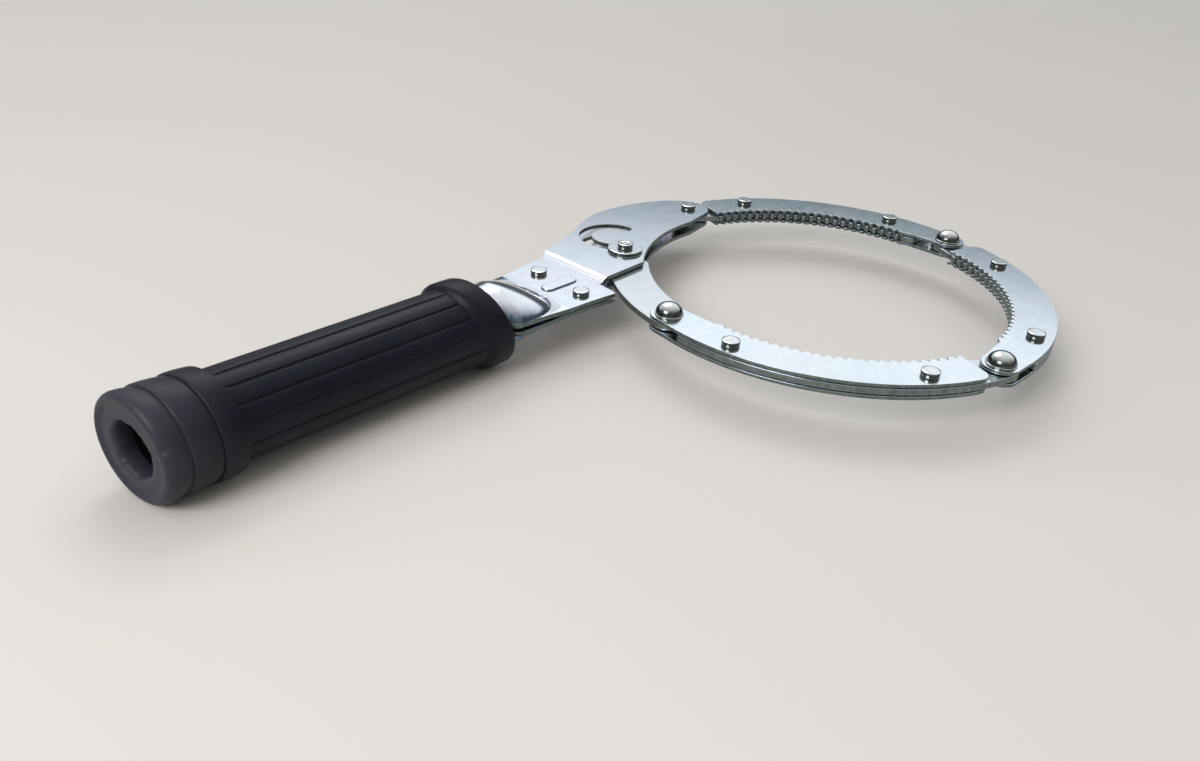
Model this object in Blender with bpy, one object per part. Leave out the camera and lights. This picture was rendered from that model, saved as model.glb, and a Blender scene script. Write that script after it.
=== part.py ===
"""Hinged-ring oil filter wrench: pressed steel handle, three toothed arc segments and a link.

The wrench lies flat: +X runs along the handle towards the ring, +Z is square to the plates
and z = 0 is the middle plane of the sheet metal. Plan sizes below are in millimetres, measured
from the point of the handle's axis between the two neck rivets; the whole assembly is then
shifted so that the centre of its bounding box is the origin.
"""
import math

import bmesh
import bpy
import numpy as np
from mathutils import Matrix, Vector

MM = 0.001
GAP = 0.3                     # clear space kept between pieces that touch

# Ring: every pivot lies on one circle.
PIVOT_RADIUS = 64.0           # circle through the hinge pivots
TIP_RADIUS = 56.0             # circle through the tooth tips
ROOT_RADIUS = 57.2            # circle through the tooth roots
RIM_RADIUS = 69.0             # outer edge of the segments
SEGMENT_SPAN = 90.5           # degrees between a segment's two pivots
LINK_SPAN = 42.4              # degrees between the link's pivot and the stud
RIVET_ANGLE = 21.1            # degrees from a segment's pivot to its nearer plate rivet
END_RADIUS = 5.4              # rounded end of a segment plate, about its pivot
TONGUE_RADIUS = 5.0           # rounded end of a middle plate, about its pivot
CUT_ANGLE = 7.0               # degrees from the tongue pivot to the cut end of the outer plates
MIDDLE_START = 8.5            # degrees from the clevis pivot to the end of the middle plate
TOOTH_PITCH = 2.9             # degrees
TEETH_START = 12.5            # degrees from the clevis pivot to the first tooth
TOOTH_COUNT = 24

# Thicknesses and levels.
PLATE = 1.0                   # outer segment plates
MIDDLE = 1.9                  # middle plates and the link
SHEET = 1.25                  # pressed handle halves
OUTER_LEVEL = MIDDLE / 2 + 0.35
JAW_LEVEL = MIDDLE / 2 + GAP
NECK_LEVEL = GAP / 2

# Where the chain of segments lies at rest.
JAW_PIVOT = (75.9, 16.2)
HEADINGS = (-58.0, -144.4, -239.8, -301.75)   # three segments, then the link, in degrees

# Jaw outline and its curved slot.
RING_CENTRE = (62.5, -49.0)
JAW_TIP_RADIUS = 7.2
JAW_BACK = ((14.0, 22.0), (20.0, 23.9), (28.8, 27.2), (38.0, 31.4), (47.0, 33.7), (57.7, 32.9),
            (66.2, 30.9), (74.0, 27.6))
JAW_FRONT = -6.6              # y of the jaw's straight front edge
JAW_MOUTH_START = (27.0, JAW_FRONT)           # ends of the jaw's curved inner edge
JAW_MOUTH_END = (66.0, 8.0)
JAW_MOUTH_RADIUS = 56.2
JAW_START = 9.2               # x where the raised jaw begins
JAW_START_BACK = 20.6         # y of the jaw's back corner there
NECK_END = 6.0                # x where the neck begins to rise
NECK_FRONT_CORNER = (4.2, -14.9)
NECK_BACK_CORNER = (-5.0, 17.3)
SLOT_CENTRE = (34.3, 15.1)
SLOT_RADIUS = 8.8
SLOT_WIDTH = 4.4
SLOT_TIP_ANGLE = 12.0         # far end of the slot, degrees about its centre

# Neck, bulge and tube of the pressed halves.
TUBE_END = -127.5
TUBE_FRONT = -28.6
NECK_FULL = -24.0             # x where the neck has reached its full width
TUBE_RADIUS = 9.2             # middle surface of the sheet
BULGE_WIDTH = 11.6            # half width of the bulge at its foot
BULGE_WIDE_X = -24.0
BULGE_NOSE = -13.8
BULGE_FALL = (1.3, 1.1)        # how the bulge's height dies away towards its nose
BULGE_FRONT_SLOPE = 0.12       # added to the half-circle exponent on the bulge's front side
BULGE_BACK_SLOPE = 0.5         # and on its gentler back side
FLAT_START = -12.0
NECK_MEASURE_X = -26.0         # x where the neck's two half widths are given
NECK_FRONT = (12.4, 0.06)      # half width and how much it grows along x
NECK_BACK = (13.4, 0.18)
HALVES_APART = 0.45           # extra lift of each half's edges at the tube
NECK_RIVETS = ((-3.4, 10.5), (-4.0, -8.3))
BOSS_CENTRE = (-4.4, 0.6)
BOSS_LENGTH = 13.0
BOSS_WIDTH = 4.2
BOSS_HEIGHT = 0.6

# Grip.
GRIP_END = -135.0
GRIP_FRONT = -36.3
GRIP_RADIUS = 11.9
GRIP_BORE = 10.35
COLLAR_RADIUS = 13.8
FLANGE_RADIUS = 13.6
END_HOLE_RADIUS = 6.9
REAR_COLLARS = (-129.1, -121.9, -116.0)       # groove, groove, end of the ribbed rear collar
FLANGE_START = -45.5
SIDE_LEAN = 0.15              # the sleeve sits askew: its rings lean this much across the handle
FRONT_LEAN = 0.26             # and the front flange leans back at its top
LEAN_START = -100.0           # x where the grip's rings begin to lean back

# Fasteners: head radius and height, shank radius.
PLATE_RIVET = (2.55, 1.5, 1.5)
HINGE_RIVET = (4.2, 3.4, 2.2)
NECK_RIVET = (2.5, 1.3, 1.6)
STUD = (2.45, 1.6, 1.8)
WASHER_RADIUS = 5.65
WASHER_THICKNESS = 1.0


def clear_scene():
    for thing in list(bpy.data.objects):
        bpy.data.objects.remove(thing, do_unlink=True)


def material(name, color, metallic, roughness):
    made = bpy.data.materials.new(name)
    made.use_nodes = True
    shader = made.node_tree.nodes["Principled BSDF"]
    shader.inputs["Base Color"].default_value = (*color, 1.0)
    shader.inputs["Metallic"].default_value = metallic
    shader.inputs["Roughness"].default_value = roughness
    return made


def add_object(name, bm, surface, parent=None, location=(0.0, 0.0, 0.0)):
    """Turn a bmesh in millimetres into a named object in metres."""
    bmesh.ops.scale(bm, vec=(MM, MM, MM), verts=bm.verts)
    mesh = bpy.data.meshes.new(name)
    bm.to_mesh(mesh)
    bm.free()
    mesh.shade_smooth()
    mesh.set_sharp_from_angle(angle=math.radians(32))
    mesh.materials.append(surface)
    made = bpy.data.objects.new(name, mesh)
    bpy.context.collection.objects.link(made)
    made.parent = parent
    made.location = Vector(location) * MM
    return made


def add_empty(name, parent, place, turn):
    made = bpy.data.objects.new(name, None)
    bpy.context.collection.objects.link(made)
    made.parent = parent
    made.location = Vector((*place, 0.0)) * MM
    made.rotation_euler = (0.0, 0.0, math.radians(turn))
    return made


def polar(centre, radius, angle):
    """Point at an angle in degrees on a circle."""
    turn = math.radians(angle)
    return (centre[0] + radius * math.cos(turn), centre[1] + radius * math.sin(turn))


def arc(centre, radius, start, end, steps):
    return [polar(centre, radius, a) for a in np.linspace(start, end, steps + 1)]


def heading(start, end):
    return math.degrees(math.atan2(end[1] - start[1], end[0] - start[0]))


def add_loop(bm, points, z=0.0):
    """Closed ring of edges through plan points."""
    corners = [bm.verts.new((x, y, z)) for x, y in points]
    for first, second in zip(corners, corners[1:] + corners[:1]):
        bm.edges.new((first, second))
    return corners


def flat_plate(outline, holes, low, high):
    """Plate of constant thickness with its holes."""
    bm = bmesh.new()
    for points in [outline, *holes]:
        add_loop(bm, points, low)
    bmesh.ops.triangle_fill(bm, use_beauty=True, edges=bm.edges[:], normal=(0.0, 0.0, -1.0))
    grown = bmesh.ops.extrude_face_region(bm, geom=bm.faces[:])
    top = [part for part in grown["geom"] if isinstance(part, bmesh.types.BMVert)]
    bmesh.ops.translate(bm, verts=top, vec=(0.0, 0.0, high - low))
    bmesh.ops.recalc_face_normals(bm, faces=bm.faces[:])
    return bm


def turned(profile, sides, along="Z", closed=False):
    """Solid of revolution from (height, radius) points; radius 0 is a point on the axis."""
    bm = bmesh.new()
    rings = []
    for height, radius in profile:
        if radius == 0:
            rings.append([bm.verts.new((0.0, 0.0, height))])
            continue
        turns = [2 * math.pi * k / sides for k in range(sides)]
        rings.append([bm.verts.new((radius * math.cos(t), radius * math.sin(t), height))
                      for t in turns])
    pairs = list(zip(rings, rings[1:]))
    if closed:
        pairs.append((rings[-1], rings[0]))
    for lower, upper in pairs:
        for k in range(sides):
            after = (k + 1) % sides
            corners = [lower[k % len(lower)], lower[after % len(lower)],
                       upper[after % len(upper)], upper[k % len(upper)]]
            bm.faces.new(list(dict.fromkeys(corners)))
    if along == "X":
        lay_down = Matrix.Rotation(math.radians(90), 3, "Y")
        bmesh.ops.rotate(bm, verts=bm.verts, cent=(0.0, 0.0, 0.0), matrix=lay_down)
    bmesh.ops.recalc_face_normals(bm, faces=bm.faces[:])
    return bm


def rivet_hole(centre, shank, sides=12):
    return arc(centre, shank + GAP, 0, 360 - 360 / sides, sides - 1)


def flat_rivet(size, seat, sides=12):
    """Rivet with a flat head above and a low round head below its seats at +-seat."""
    head, height, shank = size
    top = seat + GAP
    profile = [(-top - height * 0.8, 0), (-top - height * 0.7, head * 0.45),
               (-top - height * 0.4, head * 0.8), (-top, head * 0.92), (-top, shank),
               (top, shank), (top, head), (top + height * 0.85, head),
               (top + height, head * 0.88), (top + height, 0)]
    return turned(profile, sides)


def hinge_rivet(seat, sides=16):
    """Hinge pin with a tall domed head above and a low round head below."""
    head, height, shank = HINGE_RIVET
    top = seat + GAP
    dome = [(top + height * math.sin(a), head * math.cos(a))
            for a in np.radians([0, 20, 40, 58, 74])]
    foot = [(-top - 1.6 * math.sin(a), 3.4 * math.cos(a)) for a in np.radians([65, 35, 0])]
    profile = [(-top - 1.6, 0), *foot, (-top, shank), (top, shank), *dome, (top + height, 0)]
    return turned(profile, sides)


# The plan of a segment in its own frame: the tongue pivot is the origin, the clevis pivot
# lies on +X and the arc bows towards +Y.
def chord(span):
    return 2 * PIVOT_RADIUS * math.sin(math.radians(span / 2))


def arc_centre(span):
    return (chord(span) / 2, -PIVOT_RADIUS * math.cos(math.radians(span / 2)))


def from_clevis(angle):
    """Angle about the segment's centre, for an angle counted from the clevis pivot."""
    return 90 - SEGMENT_SPAN / 2 + angle


def toothed_edge(centre, first, count):
    """Inner edge with rounded notches, from the clevis side to the tongue side."""
    points = []
    for k in range(count):
        start = from_clevis(first + k * TOOTH_PITCH)
        points.append(polar(centre, TIP_RADIUS, start))
        points.append(polar(centre, TIP_RADIUS, start + 0.52 * TOOTH_PITCH))
        points.append(polar(centre, ROOT_RADIUS, start + 0.76 * TOOTH_PITCH))
    return points


def outer_plate_outline():
    """Rounded about the clevis pivot, cut short of the tongue pivot."""
    centre = arc_centre(SEGMENT_SPAN)
    clevis = (chord(SEGMENT_SPAN), 0.0)
    out_turn = from_clevis(0.0)
    cut = from_clevis(SEGMENT_SPAN - CUT_ANGLE)
    rounded_end = arc(clevis, END_RADIUS, out_turn - 180, out_turn, 9)
    outer_edge = arc(centre, RIM_RADIUS, out_turn + 4, cut - 3.2, 18)
    corner = [polar(centre, RIM_RADIUS - 0.6, cut - 1.4), polar(centre, RIM_RADIUS - 2.4, cut)]
    inner_edge = toothed_edge(centre, TEETH_START, TOOTH_COUNT)[::-1]
    return [*rounded_end, *outer_edge, *corner, polar(centre, TIP_RADIUS, cut), *inner_edge,
            polar(centre, ROOT_RADIUS, from_clevis(TEETH_START - 3.0))]


def middle_plate_outline():
    """Rounded about the tongue pivot, cut short of the clevis pivot."""
    centre = arc_centre(SEGMENT_SPAN)
    tongue_turn = from_clevis(SEGMENT_SPAN)
    start = from_clevis(MIDDLE_START)
    outer_edge = arc(centre, RIM_RADIUS, start, tongue_turn - 4, 19)
    tongue_end = arc((0.0, 0.0), TONGUE_RADIUS, tongue_turn, tongue_turn + 180, 9)
    shift = TEETH_START - TOOTH_PITCH / 2
    inner_edge = toothed_edge(centre, shift, TOOTH_COUNT + 1)[::-1]
    return [*outer_edge, *tongue_end, *inner_edge, polar(centre, ROOT_RADIUS, start)]


def plate_rivet_places():
    centre = arc_centre(SEGMENT_SPAN)
    turns = (RIVET_ANGLE, SEGMENT_SPAN - RIVET_ANGLE)
    return [polar(centre, PIVOT_RADIUS, from_clevis(turn)) for turn in turns]


def build_segment(number, hinge, steel, bright):
    """One arc segment: three plates, two plate rivets and the rivet of its clevis end."""
    name = f"segment_{number}"
    tongue = (0.0, 0.0)
    clevis = (chord(SEGMENT_SPAN), 0.0)
    rivets = plate_rivet_places()
    small_holes = [rivet_hole(place, PLATE_RIVET[2]) for place in rivets]
    clevis_hole = rivet_hole(clevis, HINGE_RIVET[2])
    tongue_hole = rivet_hole(tongue, HINGE_RIVET[2])
    outer_holes = [*small_holes, clevis_hole]
    top = OUTER_LEVEL + PLATE
    add_object(f"{name}_top_plate",
               flat_plate(outer_plate_outline(), outer_holes, OUTER_LEVEL, top), steel, hinge)
    add_object(f"{name}_bottom_plate",
               flat_plate(outer_plate_outline(), outer_holes, -top, -OUTER_LEVEL), steel, hinge)
    add_object(f"{name}_middle_plate",
               flat_plate(middle_plate_outline(), [*small_holes, tongue_hole],
                          -MIDDLE / 2, MIDDLE / 2), steel, hinge)
    for which, place in zip(("near_clevis", "near_tongue"), rivets):
        add_object(f"{name}_rivet_{which}", flat_rivet(PLATE_RIVET, top), bright,
                   hinge, (*place, 0.0))
    add_object(f"{name}_hinge_rivet", hinge_rivet(top), bright, hinge, (*clevis, 0.0))


def build_link(hinge, steel, bright):
    """Smooth single plate from the last segment to the stud that rides in the jaw's slot."""
    centre = arc_centre(LINK_SPAN)
    stud = (chord(LINK_SPAN), 0.0)
    start = 90 - LINK_SPAN / 2
    end = 90 + LINK_SPAN / 2
    outline = [*arc(stud, TONGUE_RADIUS, start - 180, start, 9),
               *arc(centre, RIM_RADIUS, start + 4, end - 4, 9),
               *arc((0.0, 0.0), TONGUE_RADIUS, end, end + 180, 9),
               *arc(centre, TIP_RADIUS, end - 5, start + 5, 9)]
    holes = [rivet_hole((0.0, 0.0), HINGE_RIVET[2]), rivet_hole(stud, STUD[2])]
    add_object("link_plate", flat_plate(outline, holes, -MIDDLE / 2, MIDDLE / 2), steel, hinge)
    washer_low = JAW_LEVEL + SHEET + GAP
    washer_high = washer_low + WASHER_THICKNESS
    for name, side in (("stud_washer_upper", 1), ("stud_washer_lower", -1)):
        bore = STUD[2] + GAP
        profile = [(side * z, r) for z, r in
                   ((washer_low, bore), (washer_low, WASHER_RADIUS),
                    (washer_high - 0.15, WASHER_RADIUS),
                    (washer_high, WASHER_RADIUS - 0.15), (washer_high, bore))]
        add_object(name, turned(profile, 24, closed=True), bright, hinge, (*stud, 0.0))
    add_object("slot_stud", flat_rivet(STUD, washer_high), bright, hinge, (*stud, 0.0))


def chain_places():
    """Plan positions of the hinge pivots and of the stud at rest, from the jaw pivot on."""
    places = [JAW_PIVOT]
    for span, turn in zip([SEGMENT_SPAN] * 3 + [LINK_SPAN], HEADINGS):
        places.append(polar(places[-1], chord(span), turn))
    return places


def slot_outline(stud):
    """Curved slot: a straight leg from the stud, then an arc of constant width."""
    offset = (stud[0] - SLOT_CENTRE[0], stud[1] - SLOT_CENTRE[1])
    distance = math.hypot(*offset)
    towards_stud = math.degrees(math.atan2(offset[1], offset[0])) % 360
    touch = towards_stud - math.degrees(math.acos(SLOT_RADIUS / distance))
    half = SLOT_WIDTH / 2
    outer = arc(SLOT_CENTRE, SLOT_RADIUS + half, touch, SLOT_TIP_ANGLE, 16)
    tip = arc(polar(SLOT_CENTRE, SLOT_RADIUS, SLOT_TIP_ANGLE), half,
              SLOT_TIP_ANGLE, SLOT_TIP_ANGLE - 180, 6)[1:-1]
    inner = arc(SLOT_CENTRE, SLOT_RADIUS - half, SLOT_TIP_ANGLE, touch, 12)
    stud_end = arc(stud, half, touch + 180, touch, 8)
    return [*outer, *tip, *inner, *stud_end]


def smooth_run(points, steps):
    """Smooth curve through plan points (Catmull-Rom), without its last point."""
    spots = np.array([points[0], *points, points[-1]], dtype=float)
    run = []
    for before, start, end, after in zip(spots, spots[1:], spots[2:], spots[3:]):
        for t in np.arange(steps) / steps:
            run.append(tuple(0.5 * (2 * start + (end - before) * t
                                    + (2 * before - 5 * start + 4 * end - after) * t ** 2
                                    + (3 * start - before - 3 * end + after) * t ** 3)))
    return run


def jaw_outline():
    """From the back of the joggle round the jaw tip to the front edge."""
    tip_back = polar(JAW_PIVOT, JAW_TIP_RADIUS + 0.8, 52)
    back_edge = smooth_run([*JAW_BACK, tip_back], 2)
    tip = arc(JAW_PIVOT, JAW_TIP_RADIUS, 36, -80, 8)
    inner_end = heading(RING_CENTRE, JAW_MOUTH_END)
    inner_start = heading(RING_CENTRE, JAW_MOUTH_START)
    inner_edge = arc(RING_CENTRE, JAW_MOUTH_RADIUS, inner_end, inner_start, 14)
    return [*back_edge, *tip, *inner_edge]


def smooth_step(value, low, high):
    share = min(max((value - low) / (high - low), 0.0), 1.0)
    return share * share * (3 - 2 * share)


def shell_section(x, samples):
    """Middle surface of a pressed half across the handle at x: tube, bulge or flat neck."""
    rising = smooth_step(x, TUBE_FRONT, NECK_FULL)
    front, back = (TUBE_RADIUS + rising * (half + flare * (x - NECK_MEASURE_X) - TUBE_RADIUS)
                   for half, flare in (NECK_FRONT, NECK_BACK))
    apart = 1 - smooth_step(x, NECK_MEASURE_X, FLAT_START)
    base = NECK_LEVEL + SHEET / 2 + HALVES_APART * apart
    width = TUBE_RADIUS + (BULGE_WIDTH - TUBE_RADIUS) * smooth_step(x, TUBE_FRONT, BULGE_WIDE_X)
    if x > BULGE_WIDE_X:
        share = (x - BULGE_WIDE_X) / (BULGE_NOSE - BULGE_WIDE_X)
        width *= math.sqrt(max(1 - share ** 2, 0.0))
    height = TUBE_RADIUS - base
    if x > TUBE_FRONT:
        share = min((x - TUBE_FRONT) / (BULGE_NOSE - TUBE_FRONT), 1.0)
        height *= (1 - share ** BULGE_FALL[0]) ** BULGE_FALL[1]
    points = []
    for v in np.linspace(-1, 1, samples):
        y = math.sin(math.pi * v / 2) * (back if v > 0 else front)
        z = base
        if width > 0.5:
            slope = BULGE_BACK_SLOPE if v > 0 else BULGE_FRONT_SLOPE
            z += height * max(1 - (y / width) ** 2, 0.0) ** (0.5 + slope * rising)
        points.append((x, y, z))
    return points


def add_strip(bm, lower, upper):
    for k in range(len(lower) - 1):
        bm.faces.new((lower[k], lower[k + 1], upper[k + 1], upper[k]))


def fill_flat(bm, loops, z):
    """Fill the flat area between an outline and its holes; outline points may be vertices."""
    edges = []
    for points in loops:
        corners = [p if isinstance(p, bmesh.types.BMVert) else bm.verts.new((*p, z))
                   for p in points]
        for first, second in zip(corners, corners[1:] + corners[:1]):
            edge = bm.edges.get((first, second)) or bm.edges.new((first, second))
            edges.append(edge)
    bmesh.ops.triangle_fill(bm, use_beauty=True, edges=edges, normal=(0.0, 0.0, 1.0))


def boss_outline(inset=0.0):
    half = BOSS_WIDTH / 2 - inset
    reach = BOSS_LENGTH / 2 - BOSS_WIDTH / 2
    x, y = BOSS_CENTRE
    return [*arc((x + reach, y), half, -90, 90, 6), *arc((x - reach, y), half, 90, 270, 6)]


def handle_sheet(stud):
    """Middle surface of the upper pressed half, from the tube's end to the jaw's tip."""
    bm = bmesh.new()
    samples = 15
    stations = [TUBE_END, TUBE_FRONT, -27, -25.5, -24, -22, -20, -18, -16, -14.8, BULGE_NOSE,
                FLAT_START]
    rows = [[bm.verts.new(p) for p in shell_section(x, samples)] for x in stations]
    for lower, upper in zip(rows, rows[1:]):
        add_strip(bm, lower, upper)
    neck_z = NECK_LEVEL + SHEET / 2
    jaw_z = JAW_LEVEL + SHEET / 2
    foot_front = JAW_FRONT - 0.5
    foot_back = JAW_START_BACK - 1.8
    ramp = []
    for share in (0.0, 0.2, 0.5, 0.8, 1.0):
        front = foot_front + (JAW_FRONT - foot_front) * share
        back = foot_back + (JAW_START_BACK - foot_back) * share
        place = NECK_END + (JAW_START - NECK_END) * share
        height = neck_z + (jaw_z - neck_z) * smooth_step(share, 0, 1)
        ramp.append([bm.verts.new((place, y, height)) for y in np.linspace(front, back, 6)])
    for lower, upper in zip(ramp, ramp[1:]):
        add_strip(bm, lower, upper)
    corner = [(NECK_END - 0.5, foot_front), NECK_FRONT_CORNER, (-5.0, -13.9)]
    fill_flat(bm, [[*rows[-1], NECK_BACK_CORNER, *ramp[0][::-1], *corner]], neck_z)
    fill_flat(bm, [[*ramp[-1], *jaw_outline()],
                   slot_outline(stud), rivet_hole(JAW_PIVOT, PLATE_RIVET[2])], jaw_z)
    return bm


def build_handle_half(name, side, stud, steel, root):
    """Pressed half: one sheet thickened about its middle surface; side -1 is the lower half."""
    bm = handle_sheet(stud)
    if side < 0:
        bmesh.ops.scale(bm, vec=(1.0, 1.0, -1.0), verts=bm.verts)
    bmesh.ops.recalc_face_normals(bm, faces=bm.faces[:])
    half = add_object(name, bm, steel, root)
    thicken = half.modifiers.new("sheet thickness", "SOLIDIFY")
    thicken.thickness = SHEET * MM
    thicken.offset = 0.0
    thicken.use_even_offset = True
    thicken.thickness_clamp = 1.0
    level = NECK_LEVEL + SHEET / 2
    for k, place in enumerate(NECK_RIVETS):
        points = rivet_hole(place, NECK_RIVET[2])
        cutter = add_cutter(f"{name}_rivet_cutter_{k}", points, side * level, root)
        cut(half, cutter, "DIFFERENCE")
    low, high = sorted((side * (level + SHEET / 2 - 0.2),
                        side * (level + SHEET / 2 + BOSS_HEIGHT)))
    boss = add_object(f"{name}_boss_shape", flat_plate(boss_outline(), [], low, high),
                      steel, root)
    hide_cutter(boss)
    cut(half, boss, "UNION")
    return half


def add_cutter(name, points, level, root):
    made = add_object(name, flat_plate(points, [], level - 2.0, level + 2.0), None, root)
    hide_cutter(made)
    return made


def hide_cutter(thing):
    thing.hide_render = True
    thing.display_type = "WIRE"


def cut(target, tool, operation):
    modifier = target.modifiers.new(operation.lower(), "BOOLEAN")
    modifier.operation = operation
    modifier.solver = "EXACT"
    modifier.object = tool


def build_grip(rubber, root):
    """Moulded sleeve: ribbed rear collar with an open end, plain body and front flange."""
    groove_a, groove_b, collar_end = REAR_COLLARS
    outside = [(GRIP_END, COLLAR_RADIUS - 1.6), (GRIP_END + 1.3, COLLAR_RADIUS - 0.3),
               (groove_a - 0.6, COLLAR_RADIUS), (groove_a, COLLAR_RADIUS - 0.7),
               (groove_a + 0.6, COLLAR_RADIUS),
               (groove_b - 0.6, COLLAR_RADIUS), (groove_b, COLLAR_RADIUS - 0.7),
               (groove_b + 0.6, COLLAR_RADIUS), (collar_end - 0.8, COLLAR_RADIUS),
               (collar_end, COLLAR_RADIUS - 0.8), (collar_end, GRIP_RADIUS),
               *((x, GRIP_RADIUS) for x in (LEAN_START, -82.0, -64.0)),
               (FLANGE_START, GRIP_RADIUS), (FLANGE_START + 1.2, FLANGE_RADIUS - 0.4),
               (FLANGE_START + 3, FLANGE_RADIUS), (GRIP_FRONT - 2, FLANGE_RADIUS),
               (GRIP_FRONT - 0.6, FLANGE_RADIUS - 0.5), (GRIP_FRONT, FLANGE_RADIUS - 1.4)]
    cavity_end = TUBE_END - 2.2
    inside = [(GRIP_FRONT, GRIP_BORE + 0.7), (GRIP_FRONT - 1.0, GRIP_BORE),
              (cavity_end, GRIP_BORE), (cavity_end, END_HOLE_RADIUS + 0.2),
              (GRIP_END + 0.6, END_HOLE_RADIUS), (GRIP_END, END_HOLE_RADIUS + 0.6)]
    bm = turned(outside + inside, 28, along="X", closed=True)
    for corner in bm.verts:
        x, y, z = corner.co
        corner.co.x = x - SIDE_LEAN * y - FRONT_LEAN * smooth_step(x, LEAN_START, FLANGE_START) * z
    add_object("grip_sleeve", bm, rubber, root)


def centre_on_bounding_box(root):
    """Shift the assembly so that the centre of its bounding box is the origin."""
    bpy.context.view_layer.update()
    shapes = bpy.context.evaluated_depsgraph_get()
    reach = []
    for thing in bpy.context.collection.objects:
        if thing.type == "MESH" and not thing.hide_render:
            solid = thing.evaluated_get(shapes)
            places = [solid.matrix_world @ corner.co for corner in solid.data.vertices]
            reach += [np.min(places, axis=0), np.max(places, axis=0)]
    root.location -= Vector((np.min(reach, axis=0) + np.max(reach, axis=0)) / 2)
    bpy.context.view_layer.update()


def build_wrench():
    zinc = material("zinc_plated_sheet", (0.72, 0.76, 0.78), 1.0, 0.32)
    bright = material("zinc_plated_rivet", (0.66, 0.69, 0.71), 1.0, 0.22)
    rubber = material("black_rubber", (0.018, 0.020, 0.024), 0.0, 0.5)
    places = chain_places()
    root = add_empty("wrench", None, (0.0, 0.0), 0.0)
    build_handle_half("upper_handle_shell", 1, places[-1], zinc, root)
    build_handle_half("lower_handle_shell", -1, places[-1], zinc, root)
    build_grip(rubber, root)
    for name, place in zip(("neck_rivet_back", "neck_rivet_front"), NECK_RIVETS):
        add_object(name, flat_rivet(NECK_RIVET, NECK_LEVEL + SHEET), bright, root,
                   (*place, 0.0))
    add_object("jaw_pivot_rivet", flat_rivet(PLATE_RIVET, JAW_LEVEL + SHEET), bright, root,
               (*JAW_PIVOT, 0.0))
    parent = root
    place = JAW_PIVOT
    turned_so_far = 0.0
    for number, turn in enumerate(HEADINGS[:3], start=1):
        hinge = add_empty(f"hinge_{number}", parent, place, turn - turned_so_far)
        build_segment(number, hinge, zinc, bright)
        parent = hinge
        place = (chord(SEGMENT_SPAN), 0.0)
        turned_so_far = turn
    link_hinge = add_empty("link_hinge", parent, place, HEADINGS[3] - turned_so_far)
    build_link(link_hinge, zinc, bright)
    centre_on_bounding_box(root)


clear_scene()
build_wrench()
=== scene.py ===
import math
import random

import bmesh
import bpy
import numpy as np
from mathutils import Matrix, Vector


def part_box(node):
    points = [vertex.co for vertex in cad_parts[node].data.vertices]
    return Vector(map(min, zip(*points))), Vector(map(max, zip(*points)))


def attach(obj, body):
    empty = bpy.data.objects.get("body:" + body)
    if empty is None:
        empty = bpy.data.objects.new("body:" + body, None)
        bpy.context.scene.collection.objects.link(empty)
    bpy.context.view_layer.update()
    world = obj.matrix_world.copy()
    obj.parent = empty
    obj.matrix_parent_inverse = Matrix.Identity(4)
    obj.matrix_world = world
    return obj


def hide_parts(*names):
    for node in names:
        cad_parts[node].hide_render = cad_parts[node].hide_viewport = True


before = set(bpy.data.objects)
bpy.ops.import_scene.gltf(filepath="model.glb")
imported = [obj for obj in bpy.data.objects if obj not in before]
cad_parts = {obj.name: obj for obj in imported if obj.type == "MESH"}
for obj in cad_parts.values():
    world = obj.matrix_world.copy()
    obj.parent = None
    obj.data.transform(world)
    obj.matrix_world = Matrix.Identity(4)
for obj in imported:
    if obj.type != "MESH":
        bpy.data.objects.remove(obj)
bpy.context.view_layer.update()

MM = 0.001

# Lengths are in millimetres and angles in degrees, unless a comment says otherwise. Plan points
# are measured from the point of the handle's axis between the two neck rivets: x runs towards the
# jaw, y towards the handle's back.

# Ring: circles through the hinges, the teeth and the rims, and angles along a segment. The cut
# corner's points are (below the rim, degrees before the cut).
PIVOT_RADIUS = 64.0
TIP_RADIUS = 56.0
ROOT_RADIUS = 57.15
RIM_RADIUS = 68.97
SEGMENT_SPAN = 90.5
LINK_SPAN = 42.4
RIVET_ANGLE = 21.1
END_RADIUS = 5.4
TONGUE_RADIUS = 5.0
CUT_ANGLE = 7.0
CUT_CORNER = ((0.2, 1.9), (0.8, 0.9), (1.8, 0.2), (3.0, 0.0))
MIDDLE_START = 8.5
JAW_PIVOT = (75.9, 16.2)
HEADINGS = (-58.0, -144.4, -239.8, -301.75)

# Teeth: the notch's and the crown's middles are shares of the pitch.
TOOTH_PITCH = 2.9
TEETH_START = 12.5
TOOTH_COUNT = 24
NOTCH_MIDDLE = 0.76
NOTCH_HALF = 0.24
NOTCH_POWER = 2.2
CROWN_MIDDLE = 0.26
CROWN_DROP = 0.10

# Sheet thicknesses and the levels of the layers above the middle plane.
PLATE = 1.0
MIDDLE = 1.9
SHEET = 1.25
GAP = 0.3
OUTER_LEVEL = MIDDLE / 2 + 0.35
JAW_LEVEL = MIDDLE / 2 + GAP
NECK_LEVEL = GAP / 2
HALVES_APART = 0.45
PLATE_EDGE = 0.1
MIDDLE_EDGE = 0.14
SHEET_EDGE = 0.14
LEVEL_SNAP = 0.09

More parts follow.
